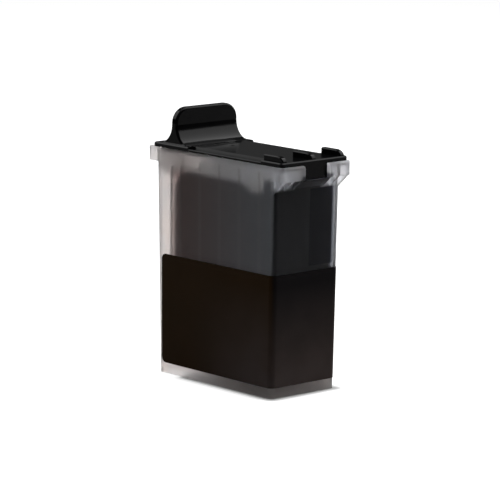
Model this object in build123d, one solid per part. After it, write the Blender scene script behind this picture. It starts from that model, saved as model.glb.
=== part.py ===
from build123d import *
import os
from math import cos, radians, tan

# Inkjet ink cartridge: a clear tank with a soaked sponge, a black lid with a pull tab, and a wrap label.
# Millimetres. +X points to the front end, whose ear has the notch for the lid's tongue, and +Z points up.
# Lengths along X are measured from the middle of the tank's walls. The finished pieces are moved so that
# the origin is the middle of the overall length, on the surface that the cartridge stands on.

# Tank walls, measured on the outside at the base, with drafts in degrees
base_length = 46.1
base_width = 22.9
end_draft = 1.07
side_draft = 0.35
corner_radius = 1.5
inner_corner_radius = 0.3
wall = 1.2

# Floor, with a skirt below it that the cartridge stands on
floor_underside = 3.0
floor_thickness = 1.3
skirt_wall = 1.2

# Rim, which stands out from the walls, and at the ends reaches out as two hollow ears
rim_underside = 58.4
rim_height = 3.9
rim_back_reach = 3.3
rim_front_reach = 3.95
rim_side_reach = 0.15
rim_corner = 1.2
rim_end_round = 0.8
ear_top = 1.2
ear_lip = 1.0

# Notch in the front ear, the gussets on both sides of it and the sill below it
notch_width = 8.9
gusset_thickness = 0.9
gusset_drop = 2.9
gusset_edge_inset = 0.4
gusset_tip_inset = 0.8
sill_thickness = 1.0
sill_lift = 0.4
sill_drop = 0.4

# Ribs on the inside of the long walls
rib_first = -14.2
rib_pitch = 8.0
rib_count = 5
rib_width = 0.9
rib_depth = 0.7
rib_top_drop = 2.3
rib_length = 22.2

# Partition that closes off the empty chamber at the back, with a passage along the floor
partition_place = -18.4
partition_thickness = 1.0
partition_top_drop = 4.9
passage_width = 8.0
passage_height = 3.0

# Viewing pad on the inside of the front wall, where the sponge bears on it
pad_depth = 0.6
pad_place = 5.3
pad_width = 8.4
pad_foot_height = 34.8
pad_height = 20.4

# Ink outlet: a spout through the floor, with a lip that holds the seal
outlet_place = 8.0
spout_bore_radius = 4.0
spout_wall = 1.4
spout_mouth_height = 0.7
spout_lip_height = 0.6
spout_lip_depth = 0.6
standpipe_height = 1.2

# Pieces in the outlet
seal_height = 2.2
seal_bore_radius = 2.4
seal_lead_in = 0.4
seal_clearance = 0.05
wick_clearance = 0.1
screen_thickness = 0.2
screen_inset = 0.3

# Filling hole in the floor and its plug
fill_place = -8.0
fill_hole_radius = 1.6
plug_clearance = 0.1
plug_head_radius = 2.5
plug_head_height = 0.8

# Sponge, whose top slopes down towards the front corners on both sides of a crown behind the notch
sponge_clearance = 0.15
sponge_front_drop = 2.2
sponge_slope_start = 8.5
sponge_slope_end = 15.0
sponge_slope_round = 8.0
sponge_back_round = 7.0
sponge_front_round = 1.2
sponge_crown_half_width = 4.6
sponge_crown_spread = 3.8

# Label film
label_thickness = 0.15
label_foot_height = 2.93
label_top_height = 33.2
label_corner = 1.6

# Lid plate, with a step down along both long sides and a low plug wall that fits inside the tank
lid_thickness = 1.2
lid_side_inset = 0.1
lid_back_inset = 2.05
lid_front_inset = 1.2
lid_corner = 1.0
lid_top_chamfer = 0.3
lid_step_width = 2.5
lid_step_depth = 0.55
lid_step_slope = 0.3
lid_step_edge = 0.15
lid_step_end_gap = 0.3
lid_plug_depth = 1.0
lid_plug_wall = 1.0
lid_plug_clearance = 0.15

# Finger tab
tab_back_inset = 6.54
tab_thickness = 2.2
tab_height = 9.9
tab_width = 21.9
tab_corner = 4.3
tab_flare = 5.3
tab_side_flare = 0.35
tab_foot_margin = 0.1
tab_foot_sink = 0.05
tab_edge_round = 0.6

# Lugs on the front end of the lid
lug_height = 1.55
lug_width = 1.6
lug_length = 7.4
lug_flat = 4.7
lug_side_place = 10.2
lug_end_inset = 0.5
lug_edge_chamfer = 0.25

# Tongue in the notch
tongue_thickness = 1.8
tongue_clearance = 0.2
tongue_reach = 4.0
tongue_end_round = 0.5

# Ribs under the lid, as deep as the sponge lies below the rim, that hold it down
press_rib_depth = 5.3
press_rib_thickness = 1.0
press_rib_place = 4.6
press_rib_back_inset = 0.8
press_rib_front_inset = 2.0

# Vent hole in the lid, with a membrane in a collar under it
vent_place = -6.0
vent_radius = 0.5
membrane_radius = 2.5
membrane_thickness = 0.25
membrane_clearance = 0.1
collar_wall = 0.6
collar_height = 0.8

# How far a cut runs past the material that it cuts
overshoot = 1.0


# How far the outside of the drafted end wall stands from the middle at a height
def end_wall_at(height):
    return base_length / 2 + height * tan(radians(end_draft))


# How far the outside of the drafted side wall stands from the middle at a height
def side_wall_at(height):
    return base_width / 2 + height * tan(radians(side_draft))


# Heights and places that follow from the sizes above
floor_top = floor_underside + floor_thickness
rim_top = rim_underside + rim_height
rim_back = end_wall_at(rim_underside) + rim_back_reach
rim_front = end_wall_at(rim_underside) + rim_front_reach
rim_side = side_wall_at(rim_underside) + rim_side_reach
gusset_foot_height = rim_underside - gusset_drop
rib_top_height = rim_top - rib_top_drop
rib_foot_height = rib_top_height - rib_length
partition_top_height = rim_top - partition_top_drop
sponge_top_height = rim_top - press_rib_depth
sponge_front_height = sponge_top_height - sponge_front_drop
lid_top = rim_top + lid_thickness
lid_side = rim_side - lid_side_inset
lid_back = -rim_back + lid_back_inset
lid_front = rim_front - lid_front_inset
tab_back_place = lid_back + tab_back_inset
tab_front_place = tab_back_place + tab_thickness
tab_foot_front = tab_front_place + tab_flare + tab_foot_margin
lug_front = lid_front - lug_end_inset
lug_rear = lug_front - lug_length
seal_foot = spout_mouth_height + spout_lip_height
seal_top = seal_foot + seal_height
standpipe_top = floor_top + standpipe_height
standpipe_radius = spout_bore_radius + spout_wall
screen_top = standpipe_top + screen_thickness
partition_back = partition_place - partition_thickness / 2
partition_front = partition_place + partition_thickness / 2
collar_bore = membrane_radius + membrane_clearance
rib_places = [rib_first + rib_pitch * number for number in range(rib_count)]


# A block between two corners
def block(x_low, x_high, y_low, y_high, z_low, z_high):
    middle = Pos((x_low + x_high) / 2, (y_low + y_high) / 2, (z_low + z_high) / 2)
    return middle * Box(x_high - x_low, y_high - y_low, z_high - z_low)


# A flat rectangle between two corners
def rectangle(x_low, x_high, z_low, z_high):
    return Pos((x_low + x_high) / 2, (z_low + z_high) / 2) * Rectangle(x_high - x_low, z_high - z_low)


# An upright cylinder between two heights
def post(x, radius, z_low, z_high):
    return Pos(x, 0, (z_low + z_high) / 2) * Cylinder(radius, z_high - z_low)


# A side view, drawn in X and Z, given a thickness along Y round the place y
def across(side_view, y, thickness):
    return Pos(0, y, 0) * extrude(Plane.XZ * side_view, thickness / 2, both=True)


# The tank's drafted form between two heights, with its sides and its ends moved outward by two steps
def tank_form(z_low, z_high, side_step, end_step):
    half_length = end_wall_at(z_low) + end_step / cos(radians(end_draft))
    half_width = side_wall_at(z_low) + side_step / cos(radians(side_draft))
    foot = Plane.XY.offset(z_low)
    form = block(-half_length, half_length, -half_width, half_width, z_low, z_high)
    form = draft(form.faces().filter_by(Axis.X), foot, -end_draft)
    form = draft(form.faces().filter_by(lambda face: abs(face.normal_at().Y) > 0.9), foot, -side_draft)
    upright = form.edges().filter_by(lambda edge: abs(edge.tangent_at(0.5).Z) > 0.9)
    return fillet(upright, max(corner_radius + side_step, inner_corner_radius))


# Bars right across the tank, trimmed to ribs that stand out from the inside of the walls by a depth
def wall_ribs(width, depth):
    low = rib_foot_height - overshoot
    high = rib_top_height + overshoot
    zone = tank_form(low, high, -wall / 2, -wall / 2)
    zone -= tank_form(low - overshoot, high + overshoot, -wall - depth, -wall - depth)
    half = width / 2
    bars = [
        block(x - half, x + half, -rim_side, rim_side, rib_foot_height, rib_top_height) for x in rib_places]
    return (Part() + bars) & zone


# Rim band whose ends stand out as ears, hollow from below, with the notch for the tongue
def rim_and_ears():
    rim = block(-rim_back, rim_front, -rim_side, rim_side, rim_underside, rim_top)
    rim = fillet(rim.edges().filter_by(Axis.Y), rim_end_round)
    outline = Pos((rim_front - rim_back) / 2, 0) * RectangleRounded(
        rim_back + rim_front, 2 * rim_side, rim_corner)
    rim &= extrude(outline, rim_top)
    inside = rim_side - ear_lip
    low = rim_underside - overshoot
    rim -= block(-rim_back + ear_lip, rim_front - ear_lip, -inside, inside, low, rim_top - ear_top)
    half_notch = notch_width / 2
    rim -= block(0, rim_front + overshoot, -half_notch, half_notch, low, rim_top + overshoot)
    return rim


# Triangular gussets from the front wall out to the ear's lip, evenly spaced from the notch to the edge
def ear_gussets():
    foot = end_wall_at(gusset_foot_height)
    root = foot - wall / 2
    tip = rim_front - gusset_tip_inset
    top = rim_top - ear_top
    side_view = Polygon(
        (root, gusset_foot_height - wall / 2), (foot, gusset_foot_height), (tip, rim_underside),
        (tip, top), (root, top), align=None)
    inner = (notch_width + gusset_thickness) / 2
    outer = rim_side - gusset_edge_inset - gusset_thickness / 2
    places = [inner, (inner + outer) / 2, outer]
    return [across(side_view, side * y, gusset_thickness) for side in (-1, 1) for y in places]


# Sloping sill across the bottom of the notch
def notch_sill():
    foot = end_wall_at(gusset_foot_height)
    root = foot - wall / 2
    tip = rim_front - gusset_tip_inset
    low = gusset_foot_height + sill_lift
    high = rim_underside - sill_drop
    side_view = Polygon(
        (root, low), (foot, low), (tip, high), (tip - sill_thickness, high),
        (foot, low + sill_thickness), (root, low + sill_thickness), align=None)
    return across(side_view, 0, notch_width + gusset_thickness)


# Upright wall between the sponge and the empty chamber
def partition():
    plate = block(
        partition_back, partition_front, -rim_side, rim_side,
        floor_top - floor_thickness / 2, partition_top_height)
    plate &= tank_form(0, rim_top, -wall / 2, -wall / 2)
    half_passage = passage_width / 2
    plate -= block(
        partition_back - overshoot, partition_front + overshoot, -half_passage, half_passage,
        floor_top, floor_top + passage_height)
    return plate


# Raised pad on the inside of the front wall
def viewing_pad():
    pad = block(
        0, rim_front, pad_place - pad_width / 2, pad_place + pad_width / 2,
        pad_foot_height, pad_foot_height + pad_height)
    pad &= tank_form(0, rim_top, 0, -wall / 2)
    return pad - tank_form(0, rim_top, 0, -wall - pad_depth)


def tank_body():
    tank = tank_form(0, rim_top, 0, 0) + rim_and_ears() + ear_gussets() + notch_sill()
    tank -= tank_form(floor_top, rim_top + overshoot, -wall, -wall)
    tank -= tank_form(-overshoot, floor_underside, -skirt_wall, -skirt_wall)
    tank += wall_ribs(rib_width, rib_depth)
    tank += [partition(), viewing_pad()]
    tank += post(outlet_place, standpipe_radius, spout_mouth_height, standpipe_top)
    tank -= post(outlet_place, spout_bore_radius, seal_foot, standpipe_top + overshoot)
    tank -= post(outlet_place, spout_bore_radius - spout_lip_depth, 0, seal_foot + overshoot)
    tank -= post(fill_place, fill_hole_radius, floor_underside - overshoot, floor_top + overshoot)
    return tank


def filter_screen():
    return post(outlet_place, standpipe_radius - screen_inset, standpipe_top, screen_top)


def outlet_wick():
    return post(outlet_place, spout_bore_radius - wick_clearance, seal_top, standpipe_top)


# Rubber ring with a lead-in at its mouth
def outlet_seal():
    seal = post(outlet_place, spout_bore_radius - seal_clearance, seal_foot, seal_top)
    seal -= post(outlet_place, seal_bore_radius, seal_foot - overshoot, seal_top + overshoot)
    mouth = seal.edges().filter_by(GeomType.CIRCLE).group_by(Axis.Z)[0].sort_by(SortBy.RADIUS)[0]
    return chamfer(mouth, seal_lead_in)


def fill_plug():
    plug = post(fill_place, fill_hole_radius - plug_clearance, floor_underside, floor_top)
    return plug + post(fill_place, plug_head_radius, floor_underside - plug_head_height, floor_underside)


# Block of foam that fills the tank in front of the partition, grooved by the ribs
def ink_sponge():
    back = partition_front + sponge_clearance
    inset = wall + pad_depth + sponge_clearance
    front = end_wall_at(sponge_front_height) - inset
    outline = FilletPolyline(
        (back, floor_top), (back, sponge_top_height), (sponge_slope_start, sponge_top_height),
        (sponge_slope_end, sponge_front_height), (front, sponge_front_height), (front, floor_top),
        radius=[sponge_back_round, sponge_slope_round, sponge_slope_round, sponge_front_round])
    side_view = make_face([outline, Line(outline @ 1, outline @ 0)])
    sponge = across(side_view, 0, 2 * rim_side)
    foot_half_width = sponge_crown_half_width + sponge_crown_spread
    crown = Polygon(
        (-foot_half_width, sponge_front_height), (foot_half_width, sponge_front_height),
        (sponge_crown_half_width, sponge_top_height), (-sponge_crown_half_width, sponge_top_height),
        align=None)
    sponge += Pos(sponge_slope_start, 0, 0) * extrude(Plane.YZ * crown, rim_front)
    sponge &= tank_form(0, rim_top, -wall - sponge_clearance, -inset)
    sponge -= wall_ribs(rib_width + 2 * sponge_clearance, rib_depth + sponge_clearance)
    return sponge - post(outlet_place, standpipe_radius + sponge_clearance, floor_top, screen_top)


# Film that follows the tank's walls from the back of one long side round the front end to the other
def label():
    film = tank_form(0, rim_underside, label_thickness, label_thickness)
    film -= tank_form(0, rim_underside, 0, 0)
    outline = rectangle(corner_radius - base_length / 2, rim_front, label_foot_height, label_top_height)
    outline = fillet(outline.vertices().group_by(Axis.X)[0], label_corner)
    return film & across(outline, 0, 2 * rim_side + overshoot)


# Outline of the tab's plate, whose foot flares out on both sides and ends just inside the lid
def tab_outline(low, high, flare):
    foot = lid_top - tab_foot_sink
    reach = flare + tab_foot_margin
    outline = rectangle(low, high, foot, lid_top + tab_height)
    outline += rectangle(low - reach, high + reach, rim_top, foot)
    joints = outline.vertices().group_by(Axis.Y)[1].sort_by(Axis.X)[1:3]
    return fillet(joints, flare)


# Finger tab: what its side view and its front view have in common, with its long edges rounded
def finger_tab():
    side_view = tab_outline(tab_back_place, tab_front_place, tab_flare)
    front_view = tab_outline(-tab_width / 2, tab_width / 2, tab_side_flare)
    front_view = fillet(front_view.vertices().group_by(Axis.Y)[-1], tab_corner)
    tab = across(side_view, 0, 2 * lid_side)
    tab &= extrude(Plane.YZ * front_view, rim_back, both=True)
    tab &= block(-rim_back, 0, -rim_side, rim_side, lid_top - tab_foot_sink / 2, lid_top + 2 * tab_height)
    rims = tab.edges().filter_by(Plane.XY, reverse=True)
    rims += tab.edges().filter_by(Axis.Y).group_by(Axis.Z)[-1]
    return fillet(rims, tab_edge_round)


# Lug with a square rear end and a top that curves down to the front
def lug(y):
    drop = lug_length - lug_flat
    flat_end = lug_front - drop
    side_view = rectangle(lug_rear, lug_front, lid_top - lid_thickness / 2, lid_top)
    side_view += rectangle(lug_rear, flat_end, lid_top, lid_top + lug_height)
    nose = Pos(flat_end, lid_top) * Ellipse(drop, lug_height)
    side_view += nose & rectangle(flat_end, lug_front, lid_top, lid_top + lug_height)
    piece = across(side_view, y, lug_width)
    edges = piece.faces().filter_by(Axis.Y).edges()
    upper = edges.filter_by(lambda edge: edge.center().Z > lid_top + lug_height / 2)
    return chamfer(upper, lug_edge_chamfer)


# What the step along one long side takes off the lid's plate, from the tab's foot to the lugs
def lid_step(side):
    inner = lid_side - lid_step_width
    outer = lid_side + overshoot
    low = lid_top - lid_step_depth
    high = lid_top + overshoot
    end_view = Polygon(
        (inner - lid_step_slope, high), (inner - lid_step_slope, lid_top), (inner, low),
        (lid_side - lid_step_edge, low), (lid_side, low - lid_step_edge), (outer, low - lid_step_edge),
        (outer, high), align=None)
    if side < 0:
        end_view = mirror(end_view, Plane.YZ)
    rear = tab_foot_front + lid_step_end_gap
    length = lug_rear - lid_step_end_gap - rear
    return Pos(rear, 0, 0) * extrude(Plane.YZ * end_view, length)


# Tongue that hangs from the lid's front edge into the notch of the ear
def tongue():
    half_width = notch_width / 2 - tongue_clearance
    piece = block(
        lid_front - tongue_thickness, lid_front, -half_width, half_width,
        rim_top - tongue_reach, rim_top + lid_thickness / 2)
    return fillet(piece.edges().filter_by(Axis.Y).group_by(Axis.Z)[0], tongue_end_round)


# Low wall under the lid that fits inside the tank
def lid_plug():
    low = rim_top - lid_plug_depth
    outer = -wall - lid_plug_clearance
    inner = outer - lid_plug_wall
    plug = tank_form(low, rim_top + lid_thickness / 2, outer, outer)
    return plug - tank_form(low - overshoot, rim_top, inner, inner)


# Two ribs under the lid that bear on the flat top of the sponge
def press_ribs():
    back = partition_front + sponge_clearance + sponge_back_round + press_rib_back_inset
    front = sponge_slope_start - press_rib_front_inset
    high = rim_top + lid_thickness / 2
    half = press_rib_thickness / 2
    places = (-press_rib_place, press_rib_place)
    return [block(back, front, y - half, y + half, sponge_top_height, high) for y in places]


def lid():
    outline = Pos((lid_back + lid_front) / 2, 0) * RectangleRounded(
        lid_front - lid_back, 2 * lid_side, lid_corner)
    plate = Pos(0, 0, rim_top) * extrude(outline, lid_thickness)
    plate = chamfer(plate.faces().sort_by(Axis.Z)[-1].edges(), lid_top_chamfer)
    plate -= [lid_step(side) for side in (-1, 1)]
    lugs = [lug(y) for y in (-lug_side_place, 0, lug_side_place)]
    plate += [finger_tab(), tongue(), lid_plug()] + lugs + press_ribs()
    collar_low = rim_top - collar_height
    plate += post(vent_place, collar_bore + collar_wall, collar_low, rim_top)
    plate -= post(vent_place, collar_bore, collar_low - overshoot, rim_top)
    plate -= post(vent_place, vent_radius, rim_top - overshoot, lid_top + overshoot)
    return plate


def vent_membrane():
    return post(vent_place, membrane_radius, rim_top - membrane_thickness, rim_top)


pieces = {
    "tank_body": tank_body,
    "lid": lid,
    "label": label,
    "ink_sponge": ink_sponge,
    "filter_screen": filter_screen,
    "outlet_wick": outlet_wick,
    "outlet_seal": outlet_seal,
    "fill_plug": fill_plug,
    "vent_membrane": vent_membrane,
}

to_middle = Pos((rim_back - rim_front) / 2, 0, 0)
os.makedirs("parts", exist_ok=True)
for name, make in pieces.items():
    export_step(to_middle * make(), f"parts/{name}.step")
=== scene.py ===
import bpy
import math
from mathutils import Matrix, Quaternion, Vector, noise


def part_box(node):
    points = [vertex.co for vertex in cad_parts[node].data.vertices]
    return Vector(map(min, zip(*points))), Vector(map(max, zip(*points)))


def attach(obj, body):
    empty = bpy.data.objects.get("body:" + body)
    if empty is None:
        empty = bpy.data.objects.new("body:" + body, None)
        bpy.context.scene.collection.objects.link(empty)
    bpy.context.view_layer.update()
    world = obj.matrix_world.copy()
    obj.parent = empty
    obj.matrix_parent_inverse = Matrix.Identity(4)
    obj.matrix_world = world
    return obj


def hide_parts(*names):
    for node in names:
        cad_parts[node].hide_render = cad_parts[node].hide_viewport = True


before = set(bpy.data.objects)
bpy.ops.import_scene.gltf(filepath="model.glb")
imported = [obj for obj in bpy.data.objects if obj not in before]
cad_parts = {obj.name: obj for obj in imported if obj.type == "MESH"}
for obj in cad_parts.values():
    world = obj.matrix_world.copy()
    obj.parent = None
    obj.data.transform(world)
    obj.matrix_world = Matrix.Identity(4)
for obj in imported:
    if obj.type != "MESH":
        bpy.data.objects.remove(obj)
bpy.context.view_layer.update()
mm = 0.001
print("frame loaded with", len(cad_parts), "nodes")

# camera, solved from the picture's perspective: degrees, millimetres and pixels, clip in metres
cameraSettings = {
    "azimuth": 48.508,
    "elevation": 10.251,
    "roll": 0.4745,
    "distance": 845.6,
    "target": (-0.325, 0.0, 34.0),
    "focalPixels": 3131.6,
    "centrePixels": (246.57, 256.22),
    "pictureSide": 500,
    "sensor": 36.0,
    "clip": (0.05, 50.0),
}


def directionFrom(azimuth, elevation):
    # towards a viewer or lamp: azimuth 0 is the -Y side, 90 the +X end
    a, e = math.radians(azimuth), math.radians(elevation)
    return Vector((math.sin(a) * math.cos(e), -math.cos(a) * math.cos(e), math.sin(e)))


def makeCamera(s):
    back = directionFrom(s["azimuth"], s["elevation"])
    data = bpy.data.cameras.new("camera")
    data.sensor_width = s["sensor"]
    data.lens = s["focalPixels"] / s["pictureSide"] * s["sensor"]
    data.shift_x = 0.5 - s["centrePixels"][0] / s["pictureSide"]
    data.shift_y = s["centrePixels"][1] / s["pictureSide"] - 0.5
    data.clip_start, data.clip_end = s["clip"]
    camera = bpy.data.objects.new("camera", data)
    bpy.context.scene.collection.objects.link(camera)
    camera.rotation_mode = "QUATERNION"
    rollTurn = Quaternion((0, 0, 1), math.radians(s["roll"]))
    camera.rotation_quaternion = (-back).to_track_quat("-Z", "Y") @ rollTurn
    camera.location = (Vector(s["target"]) + s["distance"] * back) * mm
    bpy.context.scene.camera = camera


makeCamera(cameraSettings)
bpy.context.scene.view_settings.view_transform = "Standard"
print("camera placed")


def feed(tree, socket, value):
    # a socket takes another node's output, a colour or a plain value
    if isinstance(value, bpy.types.NodeSocket):
        tree.links.new(value, socket)
    elif socket.type == "RGBA":
        socket.default_value = (*value, 1)
    else:
        socket.default_value = value


def addNode(tree, kind, settings=None, values=None):
    # settings are the node's own options, values go to its inputs by name or number
    node = tree.nodes.new(kind)
    for name, value in (settings or {}).items():
        setattr(node, name, value)
    for name, value in (values or {}).items():
        feed(tree, node.inputs[name], value)
    return node


def addMath(tree, operation, first, second=0.0):
    return addNode(tree, "ShaderNodeMath", {"operation": operation}, {0: first, 1: second}).outputs[0]


def addProduct(tree, *factors):
    product = factors[0]
    for factor in factors[1:]:
        product = addMath(tree, "MULTIPLY", product, factor)
    return product


def addRamp(tree, source, start, end, low=0.0, high=1.0, kind="SMOOTHSTEP"):
    # low up to start, high from end on, soft at both ends unless kind is LINEAR
    return addNode(tree, "ShaderNodeMapRange", {"interpolation_type": kind}, {
        "Value": source, "From Min": start, "From Max": end, "To Min": low, "To Max": high}).outputs[0]


def addMix(tree, amount, first, second):
    # first colour at amount 0, second at 1
    mix = addNode(tree, "ShaderNodeMix", {"data_type": "RGBA"}, {0: amount, 6: first, 7: second})
    return mix.outputs[2]


def addPlace(tree):
    # where a point is in the part's own frame
    return addNode(tree, "ShaderNodeTexCoord").outputs["Object"]


def addAxes(tree):
    axes = addNode(tree, "ShaderNodeSeparateXYZ", values={0: addPlace(tree)})
    return [axes.outputs[name] for name in "XYZ"]


def addNoise(tree, place, size, values):
    # noise whose cells have the given size
    scale = addMath(tree, "DIVIDE", 1.0, size)
    clouds = addNode(tree, "ShaderNodeTexNoise", values={"Vector": place, "Scale": scale, **values})
    return clouds.outputs["Fac"]


def addBoxGap(tree, sources, low, high):
    # how far a point lies outside a box, 0 inside it
    total = 0.0
    for source, least, most in zip(sources, low, high):
        fromMiddle = addMath(tree, "ABSOLUTE", addMath(tree, "SUBTRACT", source, (least + most) / 2))
        outside = addMath(tree, "MAXIMUM", addMath(tree, "SUBTRACT", fromMiddle, (most - least) / 2), 0.0)
        total = addMath(tree, "ADD", addProduct(tree, outside, outside), total)
    return addMath(tree, "SQRT", total)


def newGroup(name, inputs, outputs):
    # inputs and outputs are pairs of a label and its kind
    tree = bpy.data.node_groups.new(name, "ShaderNodeTree")
    kinds = {"value": "NodeSocketFloat", "colour": "NodeSocketColor"}
    for way, sockets in (("INPUT", inputs), ("OUTPUT", outputs)):
        for label, kind in sockets:
            tree.interface.new_socket(label, in_out=way, socket_type=kinds[kind])
    return tree, addNode(tree, "NodeGroupInput").outputs, addNode(tree, "NodeGroupOutput").inputs


def makeMouldGrain():
    # fine pitting of a moulded surface, with a slow drift in how strong it is
    tree, given, result = newGroup(
        "mouldGrain", [("Grain Size", "value"), ("Drift Size", "value")],
        [("Height", "value"), ("Mask", "value")])
    place = addPlace(tree)
    fine = addNoise(tree, place, given["Grain Size"], {"Detail": 3.0, "Roughness": 0.6})
    slow = addNoise(tree, place, given["Drift Size"], {"Detail": 2.0, "Roughness": 0.5})
    feed(tree, result["Height"], fine)
    feed(tree, result["Mask"], slow)
    return tree


def makeHairlines():
    # short faint rubbing marks that run mostly one way
    tree, given, result = newGroup(
        "hairlines", [("Spacing", "value"), ("Amount", "value")], [("Mask", "value")])
    stretched = addNode(tree, "ShaderNodeMapping", values={
        "Vector": addPlace(tree), "Rotation": (0.3, 0.5, 0.2), "Scale": (1.0, 0.12, 1.0)}).outputs[0]
    lines = addNoise(
        tree, stretched, given["Spacing"], {"Detail": 4.0, "Roughness": 0.7, "Distortion": 0.4})
    cut = addRamp(tree, lines, 0.6, 0.75, kind="LINEAR")
    feed(tree, result["Mask"], addProduct(tree, cut, given["Amount"]))
    return tree


def makeTwoTone():
    # two close colours mixed by soft clouds
    tree, given, result = newGroup(
        "twoTone", [("Colour A", "colour"), ("Colour B", "colour"), ("Cloud Size", "value")],
        [("Colour", "colour")])
    cloud = addNoise(tree, addPlace(tree), given["Cloud Size"], {"Detail": 4.0, "Roughness": 0.55})
    spread = addRamp(tree, cloud, 0.35, 0.65, kind="LINEAR")
    feed(tree, result["Colour"], addMix(tree, spread, given["Colour A"], given["Colour B"]))
    return tree


def makePores():
    # open cells, deep in the middle and raised at their edges
    tree, given, result = newGroup(
        "pores", [("Cell Size", "value")], [("Height", "value"), ("Mask", "value")])
    cells = addNode(tree, "ShaderNodeTexVoronoi", {"feature": "F1"}, {
        "Vector": addPlace(tree), "Scale": addMath(tree, "DIVIDE", 1.0, given["Cell Size"])})
    fromMiddle = cells.outputs["Distance"]
    feed(tree, result["Height"], fromMiddle)
    feed(tree, result["Mask"], addRamp(tree, fromMiddle, 0.1, 0.6, kind="LINEAR"))
    return tree


groups = {
    "mouldGrain": makeMouldGrain(),
    "hairlines": makeHairlines(),
    "twoTone": makeTwoTone(),
    "pores": makePores(),
}
print("effects made:", ", ".join(groups))


def startMaterial(name, fixed):
    material = bpy.data.materials.new(name)
    material.use_nodes = True
    tree = material.node_tree
    shader = tree.nodes["Principled BSDF"]
    for label, value in fixed.items():
        feed(tree, shader.inputs[label], value)
    return material, tree, shader


def useGroup(tree, name, values):
    return addNode(tree, "ShaderNodeGroup", {"node_tree": groups[name]}, values).outputs


def addClouds(tree, first, second, size):
    return useGroup(tree, "twoTone", {"Colour A": first, "Colour B": second, "Cloud Size": size})["Colour"]


def addGrain(tree, s):
    return useGroup(tree, "mouldGrain", {"Grain Size": s["grainSize"], "Drift Size": s["driftSize"]})


def addRoughness(tree, shader, source, low, high):
    feed(tree, shader.inputs["Roughness"], addRamp(tree, source, 0.0, 1.0, low, high, kind="LINEAR"))


def addBump(tree, shader, source, strength, depth):
    bump = addNode(tree, "ShaderNodeBump", values={
        "Strength": strength, "Distance": depth, "Height": source})
    feed(tree, shader.inputs["Normal"], bump.outputs[0])


# frosted wall: its colours, with painted light colour warm at the back and cool at the front, painted shade
# where the sponge lies behind it, and painted grey shade at the back of the rim, in the skirt and at the
# ribs
tankFinish = {
    "warm": (0.96, 0.90, 0.87),  # painted warm light, towards the back end
    "cool": (0.895, 0.915, 0.97),  # painted cool light, towards the front end
    "shade": (0.87, 0.86, 0.865),  # clouds over both
    "warmToCool": (-24 * mm, 24 * mm),
    "cloudSize": 9 * mm,
    "firstRib": -14.2 * mm,  # ribs inside the long walls
    "ribPitch": 8 * mm,
    "spongeShadeBack": (0.36, 0.25, 0.235),  # painted shade on the long walls over the sponge, at its back
    "spongeShadeFront": (0.47, 0.49, 0.53),  # and at its front
    "shadeReach": 1.8 * mm,  # past the sponge's box
    "shadeEdge": 0.4 * mm,  # softness of that edge, each way
    "shadeDrop": 2.2 * mm,  # fall of the sponge's top towards the front
    "shadeSlope": (8.5 * mm, 15 * mm),  # where it falls
    "cornerRise": 4 * mm,  # painted shade raised in the front corner
    "cornerPlace": (18.4 * mm, 19.6 * mm),
    "topFade": (55.3 * mm, 58.0 * mm),
    "backFade": (-20.6 * mm, -14 * mm),
    "ribGlow": 1.0 * mm,  # half the width of the lighter line at a rib
    "ribShadeShare": 0.78,  # how much of the painted shade is left there
    "endWallShade": (0.075, 0.075, 0.085),  # painted shade on the front wall, which the sponge is pressed to
    "endPlace": (21.9 * mm, 22.7 * mm),  # the long walls turn into it here
    "farFade": (8.3 * mm, 11 * mm),
    "nearFade": (-12.4 * mm, -11.2 * mm),
    "notchHalf": (5.0 * mm, 6.2 * mm),  # the painted shade goes on up into the notch, under the lid's tongue
    "notchTop": (59.2 * mm, 60.2 * mm),
    "padShade": (0.02, 0.02, 0.03),  # painted black shade on the raised pad on the front wall
    "padLow": (1.1 * mm, 34.8 * mm),  # its lowest Y and Z
    "padHigh": (9.5 * mm, 55.2 * mm),  # its highest
    "shadeGrey": (0.52, 0.49, 0.48),  # painted grey shade: the back of the rim, the skirt, the rib edges
    "rimPlace": (54 * mm, 57 * mm),
    "rimBack": (-24.4 * mm, -22.6 * mm),
    "rimFront": (-16 * mm, -2 * mm),
    "ribShade": 0.5,
    "ribEdge": (0.15 * mm, 0.7 * mm),
    "ribTop": (59.8 * mm, 61 * mm),
    "skirtTop": (3 * mm, 5 * mm),
    "skirtBack": (-14 * mm, 6 * mm),
    "clear": 0.92,
    "bending": 1.45,
    "mirror": (0.15, 0.15, 0.15),
    "smooth": 0.5,
    "rough": 0.64,
    "wetSmooth": 0.3,  # where the wet sponge touches the wall
    "grainSize": 0.35 * mm,
    "driftSize": 7 * mm,
    "grainDepth": 0.02 * mm,
    "grainStrength": 0.3,
}


def addRibDistance(tree, along, s):
    # how far a point lies from the nearest rib of the long walls
    return addMath(tree, "PINGPONG", addMath(tree, "SUBTRACT", along, s["firstRib"]), s["ribPitch"] / 2)


def addGreyShade(tree, along, up, colourToShade, s):
    # painted shade, greyer: the back half of the rim, the skirt towards the front where the underside is in
    # shadow, and lines at the ribs
    rim = addProduct(
        tree, addRamp(tree, up, *s["rimPlace"]), addRamp(tree, along, *s["rimBack"]),
        addRamp(tree, along, *s["rimFront"], 1.0, 0.0))
    belowFloor = addRamp(tree, up, *s["skirtTop"], 1.0, 0.0)
    skirt = addProduct(tree, belowFloor, addRamp(tree, along, *s["skirtBack"]))
    ribHeight = addMath(tree, "SUBTRACT", addRamp(tree, up, *s["ribTop"], 1.0, 0.0), belowFloor)
    ribEdges = addRamp(tree, addRibDistance(tree, along, s), *s["ribEdge"], s["ribShade"], 0.0)
    ribs = addProduct(tree, ribEdges, ribHeight)
    amount = addMath(tree, "MAXIMUM", addMath(tree, "MAXIMUM", rim, skirt), ribs)
    return addMix(tree, amount, colourToShade, s["shadeGrey"])


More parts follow.
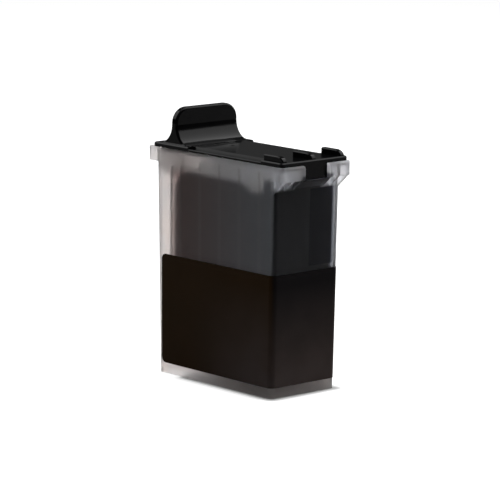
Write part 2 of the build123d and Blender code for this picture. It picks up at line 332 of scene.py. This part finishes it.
def addSideShade(tree, along, across, cornerUp, low, high, s):
    # painted shade on the long walls where the sponge lies behind them, with less of it at the ribs
    gap = addBoxGap(tree, (along, across, cornerUp), low, high)
    return addProduct(
        tree,
        addRamp(tree, gap, s["shadeReach"] - s["shadeEdge"], s["shadeReach"] + s["shadeEdge"], 1.0, 0.0),
        addRamp(tree, along, *s["backFade"]),
        addRamp(tree, cornerUp, *s["topFade"], 1.0, 0.0),
        addRamp(tree, addRibDistance(tree, along, s), 0.0, s["ribGlow"], s["ribShadeShare"], 1.0),
        addRamp(tree, along, *s["endPlace"], 1.0, 0.0))


def addEndShade(tree, axes, slopedUp, low, high, s):
    # painted shade on the front wall over the sponge's height, and up into the notch under the lid's tongue
    along, across, up = axes
    belowTop = addRamp(tree, slopedUp, high.z + s["shadeEdge"], high.z + s["shadeReach"], 1.0, 0.0)
    inNotch = addProduct(
        tree, addRamp(tree, addMath(tree, "ABSOLUTE", across), *s["notchHalf"], 1.0, 0.0),
        addRamp(tree, up, *s["notchTop"], 1.0, 0.0))
    return addProduct(
        tree,
        addRamp(tree, along, *s["endPlace"]),
        addRamp(tree, across, *s["farFade"], 1.0, 0.0),
        addRamp(tree, across, *s["nearFade"]),
        addMath(tree, "MAXIMUM", belowTop, inNotch),
        addRamp(tree, up, low.z - s["shadeReach"], low.z))


def addSpongeShade(tree, axes, colourToShade, s):
    # painted shade: the wall is darker where the sponge lies behind it, and black on the pad that it is
    # pressed to
    low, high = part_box("ink_sponge")
    along, across, up = axes
    # heights as seen from the sponge's top, first with its slope and then with the painted shade's rise in
    # the corner
    drop = addRamp(tree, along, *s["shadeSlope"], 0.0, s["shadeDrop"])
    slopedUp = addMath(tree, "ADD", up, addProduct(tree, drop, addRamp(tree, up, low.z, high.z)))
    rise = addRamp(tree, along, *s["cornerPlace"], 0.0, s["cornerRise"])
    cornerUp = addMath(tree, "SUBTRACT", slopedUp, rise)
    side = addSideShade(tree, along, across, cornerUp, low, high, s)
    end = addEndShade(tree, axes, slopedUp, low, high, s)
    padGap = addBoxGap(tree, (across, up), s["padLow"], s["padHigh"])
    pad = addProduct(tree, end, addRamp(tree, padGap, 0.0, s["shadeEdge"], 1.0, 0.0))
    # painted shade colour, warmer at the back and cooler at the front
    sideShadeColour = addMix(tree, addRamp(tree, along, *s["warmToCool"]), s["spongeShadeBack"], s["spongeShadeFront"])
    sideShaded = addMix(tree, side, colourToShade, sideShadeColour)
    endShaded = addMix(tree, end, sideShaded, s["endWallShade"])
    return addMix(tree, pad, endShaded, s["padShade"]), addMath(tree, "MAXIMUM", side, end)


def frostedTank(s):
    material, tree, shader = startMaterial("frostedTank", {
        "Transmission Weight": s["clear"], "IOR": s["bending"], "Metallic": 0.0,
        "Specular Tint": s["mirror"]})
    axes = addAxes(tree)
    along, across, up = axes
    # painted light colour: warm towards the back, cool towards the front
    drift = addMix(tree, addRamp(tree, along, *s["warmToCool"]), s["warm"], s["cool"])
    cloudy = addClouds(tree, drift, s["shade"], s["cloudSize"])
    # painted grey shade at the back of the rim, in the skirt and at the ribs
    colourToShade = addGreyShade(tree, along, up, cloudy, s)
    # painted shade where the sponge lies behind the wall; its mask also sets the gloss
    spongeShaded, wet = addSpongeShade(tree, axes, colourToShade, s)
    feed(tree, shader.inputs["Base Color"], spongeShaded)
    grain = addGrain(tree, s)
    dry = addRamp(tree, grain["Mask"], 0.0, 1.0, s["smooth"], s["rough"], kind="LINEAR")
    gloss = addNode(tree, "ShaderNodeMix", {"data_type": "FLOAT"}, {0: wet, 2: dry, 3: s["wetSmooth"]})
    feed(tree, shader.inputs["Roughness"], gloss.outputs[0])
    addBump(tree, shader, grain["Height"], s["grainStrength"], s["grainDepth"])
    return material


def addRubbedGrain(tree, shader, s):
    # fine grain in the surface, and drift and hairlines in its gloss
    grain = addGrain(tree, s)
    hair = useGroup(tree, "hairlines", {"Spacing": s["hairSpacing"], "Amount": s["hairAmount"]})
    rubbed = addMath(tree, "MAXIMUM", grain["Mask"], hair["Mask"])
    addRoughness(tree, shader, rubbed, s["smooth"], s["rough"])
    addBump(tree, shader, grain["Height"], s["grainStrength"], s["grainDepth"])
    return grain["Mask"]


lidFinish = {
    "dark": (0.0016, 0.0016, 0.0018),
    "light": (0.0030, 0.0030, 0.0032),
    "cloudSize": 6 * mm,
    "smooth": 0.07,
    "rough": 0.14,
    "gloss": 0.095,
    "grainSize": 0.25 * mm,
    "driftSize": 5 * mm,
    "grainDepth": 0.012 * mm,
    "grainStrength": 0.4,
    "hairSpacing": 0.8 * mm,
    "hairAmount": 0.5,
}
rubberFinish = {
    "dark": (0.008, 0.008, 0.008),
    "light": (0.014, 0.014, 0.014),
    "cloudSize": 1.5 * mm,
    "smooth": 0.45,
    "rough": 0.65,
    "gloss": 0.4,
    "grainSize": 0.12 * mm,
    "driftSize": 2 * mm,
    "grainDepth": 0.01 * mm,
    "grainStrength": 0.4,
    "hairSpacing": 0.5 * mm,
    "hairAmount": 0.3,
}


def blackMoulding(name, s):
    material, tree, shader = startMaterial(name, {"Specular IOR Level": s["gloss"]})
    feed(tree, shader.inputs["Base Color"], addClouds(tree, s["dark"], s["light"], s["cloudSize"]))
    addRubbedGrain(tree, shader, s)
    return material


labelFinish = {
    "dark": (0.0165, 0.0076, 0.0012),
    "light": (0.0195, 0.0090, 0.0020),
    "cloudSize": 14 * mm,
    "endFaceShade": (0.0050, 0.0040, 0.0045),  # painted shade on the front end face, darker and less brown than the long side
    "endPlace": (22.4 * mm, 23.4 * mm),
    "haze": (0.047, 0.036, 0.034),
    "hazeUp": (30 * mm, 5 * mm),  # none at the first height, full at the second
    "hazeAlong": (-14 * mm, 20 * mm),
    "hazePatches": (0.3, 0.7, 0.75, 1.0),  # drift from and to, haze left from and to
    "smooth": 0.42,
    "rough": 0.6,
    "gloss": 0.04,
    "grainSize": 0.18 * mm,
    "driftSize": 10 * mm,
    "grainDepth": 0.008 * mm,
    "grainStrength": 0.4,
    "hairSpacing": 1.2 * mm,
    "hairAmount": 0.4,
}


def rubbedLabel(s):
    # bare film: painted shade on the front end face, black at its top, and a lighter grey haze low down
    # towards the front
    material, tree, shader = startMaterial("labelFilm", {"Specular IOR Level": s["gloss"]})
    along, _, up = addAxes(tree)
    film = addClouds(tree, s["dark"], s["light"], s["cloudSize"])
    # painted shade: the front end face darker and less brown
    endFaceShaded = addMix(tree, addRamp(tree, along, *s["endPlace"]), film, s["endFaceShade"])
    drift = addRubbedGrain(tree, shader, s)
    # a lighter grey haze, low down towards the front and in patches
    haze = addProduct(
        tree, addRamp(tree, up, *s["hazeUp"], kind="LINEAR"), addRamp(tree, along, *s["hazeAlong"]),
        addRamp(tree, drift, *s["hazePatches"]))
    feed(tree, shader.inputs["Base Color"], addMix(tree, haze, endFaceShaded, s["haze"]))
    return material


foamFinish = {
    "dark": (0.0015, 0.0015, 0.002),
    "light": (0.006, 0.006, 0.008),
    "cloudSize": 3 * mm,
    "gloss": 0.1,
    "wet": 0.25,
    "dry": 0.55,
    "cellSize": 0.8 * mm,
    "cellDepth": 0.25 * mm,
    "cellStrength": 0.6,
}
feltFinish = {
    "dark": (0.004, 0.004, 0.005),
    "light": (0.02, 0.02, 0.024),
    "cloudSize": 0.8 * mm,
    "gloss": 0.4,
    "wet": 0.35,
    "dry": 0.7,
    "cellSize": 0.25 * mm,
    "cellDepth": 0.08 * mm,
    "cellStrength": 0.6,
}


def soakedCells(name, s):
    material, tree, shader = startMaterial(name, {"Specular IOR Level": s["gloss"]})
    feed(tree, shader.inputs["Base Color"], addClouds(tree, s["dark"], s["light"], s["cloudSize"]))
    cells = useGroup(tree, "pores", {"Cell Size": s["cellSize"]})
    addRoughness(tree, shader, cells["Mask"], s["wet"], s["dry"])
    addBump(tree, shader, cells["Height"], s["cellStrength"], s["cellDepth"])
    return material


steelFinish = {
    "bright": (0.62, 0.62, 0.63),
    "dull": (0.50, 0.50, 0.51),
    "cloudSize": 2 * mm,
    "wireSpacing": 0.12 * mm,
    "wireDepth": 0.03 * mm,
    "wireStrength": 0.8,
    "smooth": 0.25,
    "rough": 0.45,
}


def wovenSteel(s):
    # wires over and under each other: two waves at right angles, whose own length at scale 1 is pi / 10
    material, tree, shader = startMaterial("wovenSteel", {"Metallic": 1.0})
    feed(tree, shader.inputs["Base Color"], addClouds(tree, s["bright"], s["dull"], s["cloudSize"]))
    place = addPlace(tree)
    waves = [
        addNode(tree, "ShaderNodeTexWave", {"bands_direction": direction},
                {"Vector": place, "Scale": math.pi / 10 / s["wireSpacing"]}).outputs["Fac"]
        for direction in "XY"]
    weave = addMath(tree, "MAXIMUM", *waves)
    addRoughness(tree, shader, weave, s["rough"], s["smooth"])
    addBump(tree, shader, weave, s["wireStrength"], s["wireDepth"])
    return material


filmFinish = {
    "light": (0.86, 0.86, 0.84),
    "shade": (0.76, 0.76, 0.73),
    "cloudSize": 0.9 * mm,
    "gloss": 0.3,
    "smooth": 0.6,
    "rough": 0.85,
    "grainSize": 0.15 * mm,
    "driftSize": 0.9 * mm,
    "grainDepth": 0.02 * mm,
    "grainStrength": 0.6,
}


def porousFilm(s):
    material, tree, shader = startMaterial("porousFilm", {"Specular IOR Level": s["gloss"]})
    feed(tree, shader.inputs["Base Color"], addClouds(tree, s["light"], s["shade"], s["cloudSize"]))
    fibres = addGrain(tree, s)
    addRoughness(tree, shader, fibres["Mask"], s["smooth"], s["rough"])
    addBump(tree, shader, fibres["Height"], s["grainStrength"], s["grainDepth"])
    return material


materials = {
    "tank": frostedTank(tankFinish),
    "lid": blackMoulding("lidPlastic", lidFinish),
    "label": rubbedLabel(labelFinish),
    "foam": soakedCells("soakedFoam", foamFinish),
    "felt": soakedCells("soakedFelt", feltFinish),
    "steel": wovenSteel(steelFinish),
    "rubber": blackMoulding("sealRubber", rubberFinish),
    "film": porousFilm(filmFinish),
}
print("materials made:", len(materials))


def dress(node, material):
    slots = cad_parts[node].material_slots
    if not slots:
        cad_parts[node].data.materials.append(materials[material])
    for slot in slots:
        slot.material = materials[material]


for node, material in (
        ("tank_body", "tank"), ("lid", "lid"), ("label", "label"), ("filter_screen", "steel"),
        ("outlet_seal", "rubber"), ("fill_plug", "lid")):
    dress(node, material)
print("rigid nodes dressed")

# soft pieces: voxel of the fine mesh, cells pressed in and slow waves over them
spongeSettings = {
    "voxel": 0.5 * mm,
    "cellSize": 1.5 * mm,
    "cellDepth": 0.3 * mm,
    "cellFall": 2.2,
    "waveSize": 6 * mm,
    "waveDepth": 0.12 * mm,
}
wickSettings = {
    "voxel": 0.16 * mm,
    "cellSize": 0.5 * mm,
    "cellDepth": 0.08 * mm,
    "cellFall": 2.2,
    "waveSize": 1.5 * mm,
    "waveDepth": 0.03 * mm,
}


def appliedMesh(piece, name):
    # the piece's mesh with its modifiers worked in
    graph = bpy.context.evaluated_depsgraph_get()
    mesh = bpy.data.meshes.new_from_object(piece.evaluated_get(graph))
    mesh.name = name
    return mesh


def dentDepth(place, s):
    # full cell depth in the middle of a cell, 0 at its edge, and a share of the slow wave everywhere
    distances, _ = noise.voronoi(place / s["cellSize"])
    dent = max(0.0, 1.0 - s["cellFall"] * distances[0]) * s["cellDepth"]
    swell = (noise.noise(place / s["waveSize"]) * 0.5 + 0.5) * s["waveDepth"]
    return dent + swell


def softPiece(name, node, material, s):
    # a soft solid remeshed finely, with open cells pressed inward so that it stays in the solid's space
    piece = bpy.data.objects.new(name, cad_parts[node].data.copy())
    bpy.context.scene.collection.objects.link(piece)
    remesh = piece.modifiers.new("fineMesh", "REMESH")
    remesh.mode = "VOXEL"
    remesh.voxel_size = s["voxel"]
    remesh.use_smooth_shade = True
    mesh = appliedMesh(piece, name)
    piece.modifiers.clear()
    piece.data = mesh
    mesh.materials.clear()
    mesh.materials.append(materials[material])
    places = [vertex.co - vertex.normal * dentDepth(vertex.co, s) for vertex in mesh.vertices]
    for vertex, place in zip(mesh.vertices, places):
        vertex.co = place
    mesh.update()
    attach(piece, "root")
    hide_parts(node)
    return piece


sponge = softPiece("inkSponge", "ink_sponge", "foam", spongeSettings)
softPiece("outletWick", "outlet_wick", "felt", wickSettings)
print("sponge and wick made:", len(sponge.data.polygons), "faces in the sponge")

# how deep the film is pressed in at its weld ring and at its edge
membraneSettings = {
    "sealWidth": 0.45 * mm,
    "sealDip": 0.09 * mm,
    "edgeDip": 0.117 * mm,
    "segments": 64,
}


def makeMembrane(s):
    # thin round film, pressed thinner in a ring where it is welded to the lid
    low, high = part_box("vent_membrane")
    middle = (low + high) / 2
    radius = (high.x - low.x) / 2
    inner = radius - s["sealWidth"]
    halfWeld = s["sealWidth"] / 4
    # radius and height of each ring of points, from the underside round the edge to the top
    rings = [
        (inner - halfWeld, low.z), (inner, low.z + s["sealDip"] / 2),
        (inner + halfWeld, low.z + s["sealDip"]), (radius - halfWeld, low.z + s["sealDip"]),
        (radius, low.z + s["edgeDip"]), (radius, high.z)]
    steps = s["segments"]
    turns = [2 * math.pi * step / steps for step in range(steps)]
    places = [(middle.x, middle.y, low.z), (middle.x, middle.y, high.z)]
    places += [(middle.x + r * math.cos(t), middle.y + r * math.sin(t), z) for r, z in rings for t in turns]
    lastRing = (len(rings) - 1) * steps
    faces = []
    for step in range(steps):
        here, ahead = 2 + step, 2 + (step + 1) % steps
        faces.append((0, ahead, here))
        for ring in range(0, lastRing, steps):
            faces.append((here + ring, ahead + ring, ahead + ring + steps, here + ring + steps))
        faces.append((1, here + lastRing, ahead + lastRing))
    mesh = bpy.data.meshes.new("ventMembrane")
    mesh.from_pydata(places, [], faces)
    mesh.materials.append(materials["film"])
    piece = bpy.data.objects.new("ventMembrane", mesh)
    bpy.context.scene.collection.objects.link(piece)
    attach(piece, "root")
    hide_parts("vent_membrane")


makeMembrane(membraneSettings)
print("membrane made")

# floor: side in metres, and the stretch under the part that isn't whitened
floorSettings = {
    "size": 12.0,
    "colour": (0.42, 0.42, 0.42),
    "rough": 0.9,
    "whitening": 0.87,
    "shadowLow": (-12 * mm, -11 * mm),
    "shadowHigh": (22.5 * mm, 11 * mm),
    "shadowEdge": 4 * mm,
    "mirrorShare": 0.1,
    "mirrorReach": 160 * mm,
}
worldSettings = {
    "lit": 0.07,
    "white": 1.0,
    "mirrorShare": 0.07,
}


def seenAndMirrored(tree):
    # 1 for what is seen straight or only through the plastic, and 1 for what has been reflected on its way
    sight = addNode(tree, "ShaderNodeLightPath").outputs
    reflected = addMath(tree, "MINIMUM", sight["Glossy Depth"], 1.0)
    straight = addMath(tree, "SUBTRACT", 1.0, reflected)
    seen = addMath(tree, "MAXIMUM", sight["Is Camera Ray"], sight["Is Transmission Ray"])
    mirrored = addMath(tree, "MAXIMUM", sight["Is Glossy Ray"], sight["Is Transmission Ray"])
    return addProduct(tree, seen, straight), addProduct(tree, mirrored, reflected)


def makeFloor(s):
    # the floor is pale, whitened for the camera away from the part, so that the part's own shadow stays
    mesh = bpy.data.meshes.new("floor")
    half = s["size"] / 2
    corners = [(-half, -half, 0), (half, -half, 0), (half, half, 0), (-half, half, 0)]
    mesh.from_pydata(corners, [], [(0, 1, 2, 3)])
    material, tree, shader = startMaterial("floorPaint", {
        "Base Color": s["colour"], "Roughness": s["rough"], "Specular IOR Level": 0.0})
    along, across, _ = addAxes(tree)
    gap = addBoxGap(tree, (along, across), s["shadowLow"], s["shadowHigh"])
    away = addRamp(tree, gap, 0.0, s["shadowEdge"])
    near = addRamp(tree, gap, 0.0, s["mirrorReach"], s["mirrorShare"], 0.0)
    seen, mirrored = seenAndMirrored(tree)
    shown = addMath(tree, "MAXIMUM", addProduct(tree, seen, away), addProduct(tree, mirrored, near))
    glow = addNode(tree, "ShaderNodeEmission", values={"Strength": addProduct(tree, shown, s["whitening"])})
    both = addNode(tree, "ShaderNodeAddShader", values={0: shader.outputs[0], 1: glow.outputs[0]})
    feed(tree, tree.nodes["Material Output"].inputs["Surface"], both.outputs[0])
    mesh.materials.append(material)
    floor = bpy.data.objects.new("floor", mesh)
    bpy.context.scene.collection.objects.link(floor)


def makeWorld(s):
    # white where it is seen, dimmer as a light and in reflections
    world = bpy.data.worlds.new("studio")
    bpy.context.scene.world = world
    world.use_nodes = True
    tree = world.node_tree
    sky = tree.nodes["Background"]
    seen, mirrored = seenAndMirrored(tree)
    shown = addMath(
        tree, "MAXIMUM", addProduct(tree, seen, s["white"]), addProduct(tree, mirrored, s["mirrorShare"]))
    feed(tree, sky.inputs["Color"], (1, 1, 1))
    feed(tree, sky.inputs["Strength"], addMath(tree, "MAXIMUM", shown, s["lit"]))


makeFloor(floorSettings)
makeWorld(worldSettings)

# each lamp: where it stands round the target, how far off, its side length and its power in watts
lampTarget = Vector((0.0, 0.0, 35 * mm))
lampSettings = {
    "overhead": {"azimuth": 165, "elevation": 78, "distance": 0.7, "side": 0.5, "power": 2.4},
    "back": {"azimuth": 162, "elevation": 40, "distance": 0.75, "side": 0.8, "power": 6.5},
    "left": {"azimuth": -62, "elevation": 38, "distance": 0.8, "side": 0.6, "power": 3.0},
}


def makeLamp(name, s):
    data = bpy.data.lights.new(name, "AREA")
    data.shape = "SQUARE"
    data.size = s["side"]
    data.energy = s["power"]
    lamp = bpy.data.objects.new(name, data)
    back = directionFrom(s["azimuth"], s["elevation"])
    lamp.location = lampTarget + s["distance"] * back
    lamp.rotation_mode = "QUATERNION"
    lamp.rotation_quaternion = (-back).to_track_quat("-Z", "Y")
    bpy.context.scene.collection.objects.link(lamp)


for name, settings in lampSettings.items():
    makeLamp(name, settings)
print("floor, world and lamps made")
